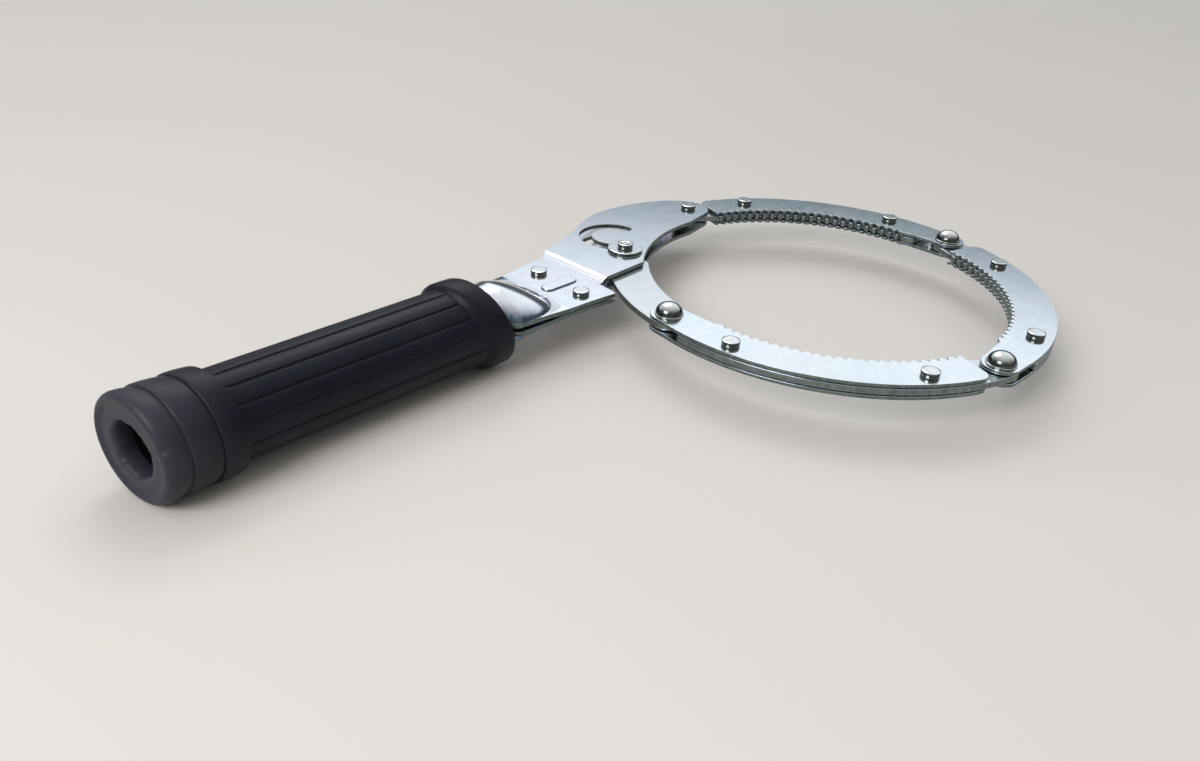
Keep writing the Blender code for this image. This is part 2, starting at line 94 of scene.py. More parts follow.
# Jaw: its back edge, its mouth round the filter, and the ramp up from the neck.
RING_CENTRE = (62.5, -49.0)
JAW_TIP_RADIUS = 7.2
JAW_BACK = ((14.0, 22.0), (20.0, 23.9), (28.8, 27.2), (38.0, 31.4), (47.0, 33.62), (57.7, 32.9),
            (66.2, 30.9), (74.0, 27.6))
JAW_FRONT = -6.6
JAW_MOUTH_START = (27.0, JAW_FRONT)
JAW_MOUTH_END = (66.0, 8.0)
JAW_MOUTH_RADIUS = 56.2
JAW_START = 9.2
JAW_START_BACK = 20.6
RAMP_NARROWING_FRONT = 0.5
RAMP_NARROWING_BACK = 1.8
NECK_END = 6.0
NECK_FRONT_EDGE = ((5.0, -8.2), (4.4, -13.9), (3.8, -14.8), (-5.0, -13.9))
NECK_BACK_CORNER = (-5.0, 17.3)
SLOT_CENTRE = (34.3, 15.1)
SLOT_RADIUS = 8.8
SLOT_WIDTH = 4.4
SLOT_TIP_ANGLE = 12.0

# Handle tube and the bulge where it flattens towards the neck. A taper is a pair of powers. The
# sheet's rims have a half width where the bulge is widest, and widen towards the neck.
TUBE_END = -127.5
TUBE_RADIUS = 9.2
BULGE_WIDEST = -26.0
BULGE_BACK = 13.2
BULGE_FRONT = 11.9
BULGE_NOSE = -13.8
FRONT_TAPER = (2.2, 0.5)
BACK_TAPER = (3.4, 1 / 3.0)
FALL_TAPER = (1.5, 1.1)
ROUND_SECTION = 0.5
FRONT_PEAKING, BACK_PEAKING = 0.12, 0.65
SWELL_START, SWELL_END = -36.0, -31.5
UPPER_FALL, LOWER_FALL = -32.0, -38.0
FLAT_START = -12.0
RIM_FRONT, RIM_FRONT_SLOPE = 12.75, 0.06
RIM_BACK, RIM_BACK_SLOPE = 14.2, 0.14
NECK_RIVETS = ((-3.4, 10.5), (-4.0, -8.3))
BOSS_CENTRE = (-4.4, 0.6)
BOSS_LENGTH = 13.0
BOSS_WIDTH = 4.2
BOSS_HEIGHT = 0.6

# Grip: places along the handle, radii, and how far its ends lean. The end lip's points are (ahead
# of the grip's end, below the collar's radius). A hole wave is (height, waves round the rim, shift
# in radians). The nick's turn and width are in radians, its depth is a share of the radius.
GRIP_END = -135.0
GRIP_FRONT = -36.3
GRIP_RADIUS = 11.9
GRIP_BORE = 10.35
COLLAR_RADIUS = 13.8
FLANGE_RADIUS = 13.6
END_HOLE_RADIUS = 6.9
GROOVE_A, GROOVE_B, COLLAR_END = -129.1, -121.9, -116.0
END_LIP = ((0.5, 2.6), (0.12, 2.2), (0.0, 1.7), (0.12, 1.1), (0.5, 0.55), (1.1, 0.18), (1.9, 0.0),
           (3.5, 0.1), (4.8, 0.4))
FLANGE_START = -45.5
LEAN_START = -100.0
SIDE_LEAN = 0.15
FRONT_LEAN = 0.26
LAND_COUNT = 15
LAND_PHASE = 0.32
LAND_FLATNESS = 0.10
GROOVE_HALF_WIDTH = 0.42
GROOVE_DEPTH = 0.42
HOLE_WAVES = ((0.20, 3, 0.7), (0.14, 7, 2.0), (0.08, 13, 1.1), (0.05, 23, 0.0))
NICK_TURN, NICK_WIDTH, NICK_DEPTH = 2.75, 0.07, 0.05

# Rivets and stud: head radius, head height, shank radius. The plays are gaps round the shanks and
# under the heads and washers.
PLATE_RIVET = (2.55, 1.5, 1.5)
HINGE_RIVET = (4.2, 3.4, 2.2)
HINGE_LOW_HEAD, HINGE_LOW_HEIGHT = 3.4, 1.7
NECK_RIVET = (2.5, 1.3, 1.6)
STUD = (2.45, 1.6, 1.8)
LOW_HEAD_SHARE = 0.94
WASHER_RADIUS = 5.65
WASHER_THICKNESS = 1.0
RIVET_PLAY = 0.02
HINGE_PLAY = 0.08
WASHER_PLAY = 0.06

# Stage and camera. The floor's reach is in metres. The room's axis is the plan direction from the
# camera to the ring.
FLOOR = -13.85
FLOOR_REACH = 4.0
CAMERA_PLACE = (-199.391, -193.763, 126.227)
CAMERA_HEADING, CAMERA_DIP, CAMERA_ROLL = 41.989, 29.770, 3.392
ROOM_AXIS = (0.743, 0.669, 0.0)

# The pivot rivet at the jaw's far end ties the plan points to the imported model.
low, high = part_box("jaw_pivot_rivet")
middle = (low + high) / 2 / MM
ORIGIN = Vector((middle.x - JAW_PIVOT[0], middle.y - JAW_PIVOT[1], 0.0))


# ---------------------------------------------------------------- materials
class Paint:
    """A Principled material and short calls for the nodes that feed it."""

    def __init__(self, name):
        self.material = bpy.data.materials.new(name)
        self.material.use_nodes = True
        self.tree = self.material.node_tree
        self.shader = self.tree.nodes["Principled BSDF"]
        self.place = self.node("ShaderNodeTexCoord").outputs["Object"]

    def node(self, kind, **values):
        """New shader node with some of its settings."""
        made = self.tree.nodes.new(kind)
        for name, value in values.items():
            setattr(made, name, value)
        return made

    def join(self, source, target):
        """Link two sockets."""
        self.tree.links.new(source, target)

    def set(self, **values):
        """Set the shader's inputs by name, with _ for a space."""
        for name, value in values.items():
            self.shader.inputs[name.replace("_", " ")].default_value = value

    def noise(self, scale, detail=3.0, rough=0.5, stretch=None):
        """Noise in cells per metre, stretched along the axes if asked."""
        made = self.node("ShaderNodeTexNoise")
        made.inputs["Scale"].default_value = scale
        made.inputs["Detail"].default_value = detail
        made.inputs["Roughness"].default_value = rough
        place = self.place
        if stretch:
            mapping = self.node("ShaderNodeMapping")
            mapping.inputs["Scale"].default_value = stretch
            self.join(self.place, mapping.inputs["Vector"])
            place = mapping.outputs["Vector"]
        self.join(place, made.inputs["Vector"])
        return made.outputs["Fac"]

    def spots(self, scale):
        """Distance to the nearest of scattered points, for specks, pits and stains."""
        made = self.node("ShaderNodeTexVoronoi")
        made.inputs["Scale"].default_value = scale
        self.join(self.place, made.inputs["Vector"])
        return made.outputs["Distance"]

    def ramp(self, source, *stops):
        """Color ramp; each stop is a place with a colour or with one grey value."""
        made = self.node("ShaderNodeValToRGB")
        ramp = made.color_ramp
        while len(ramp.elements) < len(stops):
            ramp.elements.new(0.5)
        for element, (spot, color) in zip(ramp.elements, stops):
            element.position = spot
            element.color = (*color, 1.0) if hasattr(color, "__len__") else (color,) * 3 + (1.0,)
        self.join(source, made.inputs["Fac"])
        return made.outputs["Color"]

    def mix(self, share, first, second, blend="MIX"):
        """Color mix of sockets, colours or numbers."""
        made = self.node("ShaderNodeMix", data_type="RGBA", blend_type=blend)
        for socket, value in (("Factor", share), ("A", first), ("B", second)):
            found = [s for s in made.inputs if s.name == socket and s.enabled][0]
            if isinstance(value, bpy.types.NodeSocket):
                self.join(value, found)
            elif hasattr(value, "__len__"):
                found.default_value = (*value, 1.0)
            else:
                found.default_value = value
        return [s for s in made.outputs if s.enabled][0]

    def math(self, operation, first, second=0.0, third=0.0):
        """Math node on sockets or numbers."""
        made = self.node("ShaderNodeMath", operation=operation)
        for socket, value in zip(made.inputs, (first, second, third)):
            if isinstance(value, bpy.types.NodeSocket):
                self.join(value, socket)
            else:
                socket.default_value = value
        return made.outputs[0]

    def upright(self):
        """1 on level faces, 0 on the cut edges of the sheet."""
        split = self.node("ShaderNodeSeparateXYZ")
        self.join(self.node("ShaderNodeNewGeometry").outputs["Normal"], split.inputs[0])
        return self.math("ABSOLUTE", split.outputs["Z"])

    def bump(self, *layers):
        """Chain of bump nodes from (height, depth in millimetres, strength) layers."""
        normal = None
        for height, depth, strength in layers:
            made = self.node("ShaderNodeBump")
            made.inputs["Distance"].default_value = depth * MM
            made.inputs["Strength"].default_value = strength
            self.join(height, made.inputs["Height"])
            if normal:
                self.join(normal, made.inputs["Normal"])
            normal = made.outputs["Normal"]
        self.join(normal, self.shader.inputs["Normal"])

    def color(self, source):
        """Feed the base colour."""
        self.join(source, self.shader.inputs["Base Color"])

    def rough(self, source):
        """Feed the roughness."""
        self.join(source, self.shader.inputs["Roughness"])


def zinc(name, base, tint, smooth, grain, edge=(0.17, 0.205, 0.19)):
    """Bright zinc plate: faint passivation tints, fine speckle, rub marks, dull sheared edges with
    painted shade, and a dark blue painted reflection on the pressed slopes.
    """
    paint = Paint(name)
    paint.set(Metallic=1.0)
    # The slope tones are a dark blue painted reflection for the pressed slopes.
    painted_reflection_dark, painted_reflection_light = (0.10, 0.16, 0.24), (0.24, 0.34, 0.46)
    hue = paint.ramp(paint.noise(34.0, 2.0, 0.45), (0.30, tint[0]), (0.46, base), (0.56, tint[1]),
                     (0.72, tint[2]))
    speck = paint.ramp(paint.spots(2600.0), (0.02, 0.80), (0.22, 1.0))
    faces = paint.mix(0.65, hue, speck, "MULTIPLY")
    cloud = paint.ramp(paint.noise(210.0, 4.0, 0.6), (0.32, 0.92), (0.62, 1.0))
    faces = paint.mix(0.7, faces, cloud, "MULTIPLY")
    stain = paint.ramp(paint.spots(95.0), (0.015, 0.72), (0.035, 1.0))
    faces = paint.mix(0.6, faces, stain, "MULTIPLY")
    shear = paint.noise(900.0, 3.0, 0.6, (1.0, 1.0, 0.12))
    # Cut edges: dull striped sheared steel, with the colour darkened further as painted shade.
    edges = paint.ramp(shear, (0.30, [0.62 * c for c in edge]), (0.68, [1.3 * c for c in edge]))
    painted_reflection_blotch = paint.ramp(paint.noise(800.0, 2.0), (0.35, painted_reflection_dark), (0.65, painted_reflection_light))
    painted_slope_reflection = paint.mix(0.85, painted_reflection_blotch, speck, "MULTIPLY")
    # By how far up the surface faces: cut edges, then pressed slopes, then level faces. The cut edges
    # carry painted shade and the pressed slopes a dark blue painted reflection.
    level = paint.ramp(paint.upright(), (0.10, 0.0), (0.30, 1.0))
    crest = paint.ramp(paint.upright(), (0.45, 0.0), (0.84, 1.0))
    paint.color(paint.mix(crest, paint.mix(level, edges, painted_slope_reflection), faces))
    rub = paint.noise(120.0, 4.0, 0.6, (1.0, 7.0, 1.0))
    face_rough = paint.ramp(rub, (0.25, smooth), (0.75, smooth + 0.07))
    edge_rough = paint.ramp(shear, (0.2, 0.36), (0.8, 0.56))
    paint.rough(paint.mix(level, edge_rough, face_rough))
    scratch = paint.noise(420.0, 2.0, 0.5, (0.25, 6.0, 1.0))
    paint.bump((paint.noise(1500.0, 3.0, 0.55), 0.02, grain), (scratch, 0.010, 0.20),
               (paint.noise(26.0, 1.5, 0.4), 0.12, 0.15), (shear, 0.03, 0.12))
    return paint.material


def bright_zinc(name, base, smooth, pits, side=(0.09, 0.105, 0.10)):
    """Headed rivets and washers: mirror-like crowns, faint turning marks, pits, and dark sides and dome
    flanks that are a painted reflection.
    """
    paint = Paint(name)
    paint.set(Metallic=1.0)
    tone = paint.ramp(paint.noise(520.0, 4.0, 0.6), (0.3, [0.86 * c for c in base]), (0.7, base))
    pit = paint.ramp(paint.spots(1500.0), (0.03, 0.45), (0.16, 1.0))
    crown = paint.mix(pits, tone, pit, "MULTIPLY")
    # Sides and dome flanks: a dark painted reflection with faint drawing marks.
    painted_dark_sides = paint.ramp(paint.noise(700.0, 3.0, 0.6), (0.3, [0.7 * c for c in side]),
                       (0.7, [1.5 * c for c in side]))
    level = paint.ramp(paint.upright(), (0.55, 0.0), (0.97, 1.0))
    paint.color(paint.mix(level, painted_dark_sides, crown))
    paint.rough(paint.ramp(paint.noise(640.0, 3.0), (0.3, smooth), (0.7, smooth + 0.10)))
    paint.bump((paint.noise(1100.0, 2.5, 0.5), 0.03, 0.20 + 0.5 * pits),
               (paint.noise(260.0, 2.0, 0.5), 0.06, 0.25))
    return paint.material


def black_rubber(name):
    """Moulded rubber: blue-black, satin, with mould texture, bloom, and a rear collar that gets lighter
    towards the grip's end.
    """
    paint = Paint(name)
    paint.set(Metallic=0.0, IOR=1.5, Specular_IOR_Level=0.21)
    deep, plain, bloomed = (0.0014, 0.0026, 0.0085), (0.0030, 0.0046, 0.0125), (0.009, 0.0105, 0.019)
    # Lighter tone added over the rear collar.
    rear_lighter_tone = (0.036, 0.037, 0.045)
    tone = paint.ramp(paint.noise(46.0, 4.0, 0.62), (0.32, deep), (0.60, plain), (0.80, bloomed))
    dust = paint.ramp(paint.spots(900.0), (0.015, 2.2), (0.05, 1.0))
    tone = paint.mix(0.35, tone, dust, "MULTIPLY")
    split = paint.node("ShaderNodeSeparateXYZ")
    paint.join(paint.place, split.inputs[0])
    # X is in metres: the sum is 0.30 at the collar's front edge and 0.62 near the grip's end.
    backwards = paint.math("MULTIPLY_ADD", split.outputs["X"], -20.0, -1.95)
    rear = paint.ramp(backwards, (0.30, 0.0), (0.62, 1.0))
    # The rear collar gets lighter towards the grip's end.
    paint.color(paint.mix(rear, tone, paint.mix(0.75, tone, rear_lighter_tone, "ADD")))
    wear = paint.noise(90.0, 5.0, 0.65, (0.4, 1.0, 1.0))
    paint.rough(paint.ramp(wear, (0.28, 0.40), (0.55, 0.48), (0.78, 0.58)))
    paint.bump((paint.noise(1900.0, 3.0, 0.6), 0.02, 0.30), (paint.noise(300.0, 3.0, 0.5), 0.05, 0.22),
               (paint.noise(60.0, 2.0, 0.5), 0.3, 0.18))
    return paint.material


def pale_floor(name):
    """Matt, slightly warm tabletop."""
    paint = Paint(name)
    paint.set(Metallic=0.0, Specular_IOR_Level=0.2)
    dim, pale = (0.575, 0.550, 0.522), (0.600, 0.580, 0.556)
    paint.color(paint.ramp(paint.noise(1.6, 3.0, 0.5), (0.35, dim), (0.65, pale)))
    paint.rough(paint.ramp(paint.noise(9.0, 3.0), (0.3, 0.62), (0.7, 0.74)))
    paint.bump((paint.noise(700.0, 3.0, 0.5), 0.02, 0.10))
    return paint.material


# ---------------------------------------------------------------- shapes
def polar(centre, radius, angle):
    """Plan point at a radius and an angle from a centre."""
    turn = math.radians(angle)
    return (centre[0] + radius * math.cos(turn), centre[1] + radius * math.sin(turn))


def arc(centre, radius, start, end, steps):
    """Plan points along an arc, both ends included."""
    return [polar(centre, radius, a) for a in np.linspace(start, end, steps + 1)]


def heading(start, end):
    """Angle of the line from one plan point to another."""
    return math.degrees(math.atan2(end[1] - start[1], end[0] - start[0]))


def smooth_step(value, low_end, high_end):
    """0 up to the low end, 1 from the high end, and an easy curve between them."""
    share = min(max((value - low_end) / (high_end - low_end), 0.0), 1.0)
    return share * share * (3 - 2 * share)


def smooth_run(points, steps):
    """Smooth curve through plan points (Catmull-Rom), without its last point."""
    spots = np.array([points[0], *points, points[-1]], dtype=float)
    run = []
    for before, start, end, after in zip(spots, spots[1:], spots[2:], spots[3:]):
        for t in np.arange(steps) / steps:
            run.append(tuple(0.5 * (2 * start + (end - before) * t
                                    + (2 * before - 5 * start + 4 * end - after) * t ** 2
                                    + (3 * start - before - 3 * end + after) * t ** 3)))
    return run


def inset(points, amount):
    """Outline moved to its left by an amount."""
    spots = np.array(points, dtype=float)
    along = np.roll(spots, -1, axis=0) - spots
    along /= np.maximum(np.linalg.norm(along, axis=1), 1e-9)[:, None]
    left = np.stack([-along[:, 1], along[:, 0]], axis=1)
    both = left + np.roll(left, 1, axis=0)
    both /= np.maximum((both * left).sum(axis=1), 0.6)[:, None]
    return spots + both * amount


def signed_area(points):
    """Area of an outline, negative when it runs clockwise."""
    x, y = np.array(points, dtype=float).T
    return 0.5 * (x * np.roll(y, -1) - y * np.roll(x, -1)).sum()


def bevelled_plate(outline, holes, base, top, edge=PLATE_EDGE):
    """Plate with slightly rounded rims, round its outline and each of its holes."""
    bm = bmesh.new()
    levels = [(base, edge), (base + 0.3 * edge, 0.3 * edge), (base + edge, 0.0),
              (top - edge, 0.0), (top - 0.3 * edge, 0.3 * edge), (top, edge)]
    caps = ([], [])
    for number, points in enumerate([outline, *holes]):
        if (signed_area(points) > 0) != (number == 0):
            points = points[::-1]
        rings = [[bm.verts.new((x, y, z)) for x, y in inset(points, amount)]
                 for z, amount in levels]
        for lower, upper in zip(rings, rings[1:]):
            for k in range(len(lower)):
                after = (k + 1) % len(lower)
                bm.faces.new((lower[k], lower[after], upper[after], upper[k]))
        for cap, ring in zip(caps, (rings[0], rings[-1])):
            cap += [bm.edges.get((ring[k], ring[(k + 1) % len(ring)])) for k in range(len(ring))]
    for cap, side in zip(caps, (-1.0, 1.0)):
        for rim in cap:
            rim.smooth = False
        bmesh.ops.triangle_fill(bm, use_beauty=True, edges=cap, normal=(0.0, 0.0, side))
    bmesh.ops.recalc_face_normals(bm, faces=bm.faces[:])
    return bm


def turned(profile, sides, along="Z", closed=False, shape=None):
    """Solid of revolution from (height, radius) points; shape(height, radius, turn) edits it."""
    bm = bmesh.new()
    rings = []
    for height, radius in profile:
        if radius == 0:
            rings.append([bm.verts.new((0.0, 0.0, height))])
            continue
        ring = []
        for k in range(sides):
            turn = 2 * math.pi * k / sides
            here = shape(height, radius, turn) if shape else radius
            ring.append(bm.verts.new((here * math.cos(turn), here * math.sin(turn), height)))
        rings.append(ring)
    pairs = list(zip(rings, rings[1:]))
    if closed:
        pairs.append((rings[-1], rings[0]))
    for lower, upper in pairs:
        for k in range(sides):
            after = (k + 1) % sides
            corners = [lower[k % len(lower)], lower[after % len(lower)],
                       upper[after % len(upper)], upper[k % len(upper)]]
            bm.faces.new(list(dict.fromkeys(corners)))
    if along == "X":
        lay_down = Matrix.Rotation(math.radians(90), 3, "Y")
        bmesh.ops.rotate(bm, verts=bm.verts, cent=(0.0, 0.0, 0.0), matrix=lay_down)
    bmesh.ops.recalc_face_normals(bm, faces=bm.faces[:])
    return bm


def flatten_shading(mesh):
    """Flat shading on level faces, smooth shading elsewhere."""
    for face in mesh.polygons:
        face.use_smooth = abs(face.normal.z) < 0.9998


def add_piece(name, bm, surface, body, slot, nodes=(), place=(0.0, 0.0), turn=0.0, sharp=46.0):
    """Turn a bmesh in plan millimetres into a piece that rides on a body."""
    move = (Matrix.Scale(MM, 4) @ Matrix.Translation(ORIGIN + Vector((*place, 0.0)))
            @ Matrix.Rotation(math.radians(turn), 4, "Z"))
    bm.edges.index_update()
    flat_rims = [edge.index for edge in bm.edges if not edge.smooth]
    bm.transform(move)
    mesh = bpy.data.meshes.new(name)
    bm.to_mesh(mesh)
    bm.free()
    mesh.shade_smooth()
    mesh.set_sharp_from_angle(angle=math.radians(sharp))
    flatten_shading(mesh)
    marks = mesh.attributes.get("sharp_edge") or mesh.attributes.new("sharp_edge", "BOOLEAN", "EDGE")
    for index in flat_rims:
        marks.data[index].value = True
    mesh.materials.append(surface)
    piece = bpy.data.objects.new(name, mesh)
    bpy.context.scene.collection.objects.link(piece)
    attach(piece, body)
    if nodes:
        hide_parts(*nodes)
    return piece


# ---------------------------------------------------------------- ring segments
def chord(span):
    """Straight distance between two hinges that are a span apart on the hinge circle."""
    return 2 * PIVOT_RADIUS * math.sin(math.radians(span / 2))


def arc_centre(span):
    """Ring centre in a plate's own frame: tongue hinge at the origin, clevis hinge on +x."""
    return (chord(span) / 2, -PIVOT_RADIUS * math.cos(math.radians(span / 2)))


def from_clevis(angle):
    """Direction, seen from the arc's centre, at an angle along the segment from its clevis."""
    return 90 - SEGMENT_SPAN / 2 + angle


def toothed_edge(centre, first, count, samples=12):
    """Inner edge: crowned teeth with narrow rounded notches, clevis side to tongue side."""
    points = []
    for k in range(count * samples):
        share = (k % samples) / samples
        notch = abs(share - NOTCH_MIDDLE) / NOTCH_HALF
        if notch < 1:
            radius = TIP_RADIUS + (ROOT_RADIUS - TIP_RADIUS) * (1 - notch ** NOTCH_POWER)
        else:
            radius = TIP_RADIUS + CROWN_DROP * (share / CROWN_MIDDLE - 1) ** 2
        points.append(polar(centre, radius, from_clevis(first + k * TOOTH_PITCH / samples)))
    return points


def outer_plate_outline():
    """Top or bottom plate: round end over the clevis, straight cut before the tongue."""
    centre = arc_centre(SEGMENT_SPAN)
    clevis = (chord(SEGMENT_SPAN), 0.0)
    out_turn = from_clevis(0.0)
    cut = from_clevis(SEGMENT_SPAN - CUT_ANGLE)
    rounded_end = arc(clevis, END_RADIUS, out_turn - 180, out_turn, 28)
    outer_edge = arc(centre, RIM_RADIUS, out_turn + 4, cut - 3.0, 70)
    corner = [polar(centre, RIM_RADIUS - drop, cut - back) for drop, back in CUT_CORNER]
    inner_edge = toothed_edge(centre, TEETH_START, TOOTH_COUNT)[::-1]
    return [*rounded_end, *outer_edge, *corner, polar(centre, TIP_RADIUS + 0.4, cut),
            polar(centre, TIP_RADIUS, cut - 0.3), *inner_edge,
            polar(centre, ROOT_RADIUS, from_clevis(TEETH_START - 1.6)),
            polar(centre, ROOT_RADIUS, from_clevis(TEETH_START - 3.4))]


def middle_plate_outline():
    """Middle plate: straight start inside the clevis, round tongue at the other end."""
    centre = arc_centre(SEGMENT_SPAN)
    tongue_turn = from_clevis(SEGMENT_SPAN)
    start = from_clevis(MIDDLE_START)
    outer_edge = arc(centre, RIM_RADIUS, start, tongue_turn - 4, 72)
    tongue_end = arc((0.0, 0.0), TONGUE_RADIUS, tongue_turn, tongue_turn + 180, 24)
    shift = TEETH_START - TOOTH_PITCH / 2
    inner_edge = toothed_edge(centre, shift, TOOTH_COUNT + 1)[::-1]
    return [*outer_edge, *tongue_end, *inner_edge, polar(centre, ROOT_RADIUS, start)]


def hole(place, radius, sides=28):
    """Round outline without a doubled last point."""
    return arc(place, radius, 0, 360 - 360 / sides, sides - 1)


def flat_rivet(size, seat, sides=48, peened=False):
    """Flat head above with a small rolled rim, low round head below."""
    head, height, shank = size
    crown = seat + height
    low_head = head * LOW_HEAD_SHARE
    foot = [(-seat - height * 0.8 * math.cos(a), low_head * math.sin(a))
            for a in np.radians(range(0, 90, 14))]
    profile = [*foot, (-seat, low_head), (-seat, shank), (seat, shank), (seat, head * 0.985),
               (seat + 0.12, head), (crown - 0.28, head), (crown - 0.12, head - 0.05),
               (crown - 0.03, head - 0.2)]
    if peened:
        profile += [(crown - 0.05, head * 0.7), (crown - 0.2, head * 0.45),
                    (crown - 0.12, head * 0.2), (crown - 0.1, 0)]
    else:
        profile += [(crown, head * 0.8), (crown, head * 0.4), (crown, 0)]
    bm = turned(profile, sides)
    if peened:
        seeded = random.Random(7)
        for corner in bm.verts:
            if corner.co.z > crown - 0.25 and math.hypot(corner.co.x, corner.co.y) < head * 0.8:
                corner.co.z += seeded.uniform(-0.05, 0.04)
    return bm


def hinge_rivet(seat, sides=64):
    """Hinge pin: a tall dome on a thin rim above, a low round head below."""
    head, height, shank = HINGE_RIVET
    rim = 0.35
    foot = [(-seat - HINGE_LOW_HEIGHT * math.cos(a), HINGE_LOW_HEAD * math.sin(a))
            for a in np.radians(range(0, 90, 10))]
    dome = [(seat + rim + (height - rim) * math.sin(a), (head - 0.25) * math.cos(a))
            for a in np.radians(range(0, 90, 6))]
    profile = [*foot, (-seat, HINGE_LOW_HEAD), (-seat, shank), (seat, shank), (seat, head - 0.1),
               (seat + 0.1, head), (seat + rim - 0.08, head), (seat + rim, head - 0.12),
               *dome, (seat + height, 0)]
    return turned(profile, sides)


def build_segment(number, place, turn, outer, inner, bright):
    """One ring segment: two outer plates, a middle plate, two plate rivets and a hinge pin."""
    name = f"segment_{number}"
    clevis = (chord(SEGMENT_SPAN), 0.0)
    centre = arc_centre(SEGMENT_SPAN)
    rivets = [polar(centre, PIVOT_RADIUS, from_clevis(a))
              for a in (RIVET_ANGLE, SEGMENT_SPAN - RIVET_ANGLE)]
    small = [hole(spot, PLATE_RIVET[2] + RIVET_PLAY) for spot in rivets]
    pin_hole = hole(clevis, HINGE_RIVET[2] + RIVET_PLAY)
    tongue_hole = hole((0.0, 0.0), HINGE_RIVET[2] + HINGE_PLAY)
    top = OUTER_LEVEL + PLATE
    at = {"place": place, "turn": turn}
    for level, ends in (("top", (OUTER_LEVEL, top)), ("bottom", (-top, -OUTER_LEVEL))):
        shape = bevelled_plate(outer_plate_outline(), [*small, pin_hole], *ends)
        add_piece(f"{name}_{level}_plate_look", shape, outer, name, "outer_plate_steel",
                  [f"{name}_{level}_plate"], **at)
    shape = bevelled_plate(middle_plate_outline(), [*small, tongue_hole], -MIDDLE / 2, MIDDLE / 2,
                           MIDDLE_EDGE)
    add_piece(f"{name}_middle_plate_look", shape, inner, name, "middle_plate_steel",
              [f"{name}_middle_plate"], **at)
    for which, spot in zip(("near_clevis", "near_tongue"), rivets):
        add_piece(f"{name}_rivet_{which}_look", moved(flat_rivet(PLATE_RIVET, top), spot), bright,
                  name, "rivet_steel", [f"{name}_rivet_{which}"], sharp=40, **at)
    add_piece(f"{name}_hinge_rivet_look", moved(hinge_rivet(top), clevis), bright, name,
              "rivet_steel", [f"{name}_hinge_rivet"], sharp=40, **at)


def moved(bm, spot):
    """Shift a bmesh in plan."""
    bmesh.ops.translate(bm, verts=bm.verts, vec=(*spot, 0.0))
    return bm


def build_link(place, turn, inner, bright, washer):
    """Short plain plate from the third segment to the slot, with its stud and washers."""
    centre = arc_centre(LINK_SPAN)
    stud = (chord(LINK_SPAN), 0.0)
    start = 90 - LINK_SPAN / 2
    end = 90 + LINK_SPAN / 2
    outline = [*arc(stud, TONGUE_RADIUS, start - 180, start, 26),
               *arc(centre, RIM_RADIUS, start + 4, end - 4, 36),
               *arc((0.0, 0.0), TONGUE_RADIUS, end, end + 180, 26),
               *arc(centre, TIP_RADIUS, end - 5, start + 5, 34)]
    at = {"place": place, "turn": turn}
    holes = [hole((0.0, 0.0), HINGE_RIVET[2] + HINGE_PLAY), hole(stud, STUD[2] + RIVET_PLAY)]
    shape = bevelled_plate(outline, holes, -MIDDLE / 2, MIDDLE / 2, MIDDLE_EDGE)
    add_piece("link_plate_look", shape, inner, "link", "middle_plate_steel", ["link_plate"], **at)
    base = JAW_LEVEL + SHEET + WASHER_PLAY
    top = base + WASHER_THICKNESS
    for which, side in (("upper", 1), ("lower", -1)):
        bore = STUD[2] + 0.1
        rim = [(base, WASHER_RADIUS - 0.1), (base + 0.1, WASHER_RADIUS),
               (top - 0.2, WASHER_RADIUS), (top - 0.06, WASHER_RADIUS - 0.06),
               (top, WASHER_RADIUS - 0.22)]
        profile = [(side * z, r) for z, r in [(base, bore), *rim, (top, bore)]]
        add_piece(f"stud_washer_{which}_look", moved(turned(profile, 64, closed=True), stud),
                  washer, "link", "washer_steel", [f"stud_washer_{which}"], sharp=40, **at)
    add_piece("slot_stud_look", moved(flat_rivet(STUD, top, peened=True), stud), bright, "link",
              "rivet_steel", ["slot_stud"], sharp=40, **at)


def chain_places():
    """The hinges in order from the jaw's far rivet, with the stud last."""
    places = [JAW_PIVOT]
    for span, turn in zip([SEGMENT_SPAN] * 3 + [LINK_SPAN], HEADINGS):
        places.append(polar(places[-1], chord(span), turn))
    return places


# ---------------------------------------------------------------- pressed handle halves
def slot_outline(stud):
    """Curved slot: an arc from its blind tip, then a straight leg to the stud at rest."""
    offset = (stud[0] - SLOT_CENTRE[0], stud[1] - SLOT_CENTRE[1])
    distance = math.hypot(*offset)
    towards_stud = math.degrees(math.atan2(offset[1], offset[0])) % 360
    touch = towards_stud - math.degrees(math.acos(SLOT_RADIUS / distance))
    half = SLOT_WIDTH / 2
    outer = arc(SLOT_CENTRE, SLOT_RADIUS + half, touch, SLOT_TIP_ANGLE, 44)
    tip = arc(polar(SLOT_CENTRE, SLOT_RADIUS, SLOT_TIP_ANGLE), half,
              SLOT_TIP_ANGLE, SLOT_TIP_ANGLE - 180, 16)[1:-1]
    inner = arc(SLOT_CENTRE, SLOT_RADIUS - half, SLOT_TIP_ANGLE, touch, 34)
    stud_end = arc(stud, half, touch + 180, touch, 20)
    return [*outer, *tip, *inner, *stud_end]


def jaw_outline():
    """Free edge of the jaw: back edge, round tip, and the mouth that holds the filter."""
    tip_back = polar(JAW_PIVOT, JAW_TIP_RADIUS + 0.8, 52)
    back_edge = smooth_run([*JAW_BACK, tip_back], 8)
    tip = arc(JAW_PIVOT, JAW_TIP_RADIUS, 36, -80, 30)
    inner_end = heading(RING_CENTRE, JAW_MOUTH_END)
    inner_start = heading(RING_CENTRE, JAW_MOUTH_START)
    inner_edge = arc(RING_CENTRE, JAW_MOUTH_RADIUS, inner_end, inner_start, 44)
    return [*back_edge, *tip, *inner_edge]


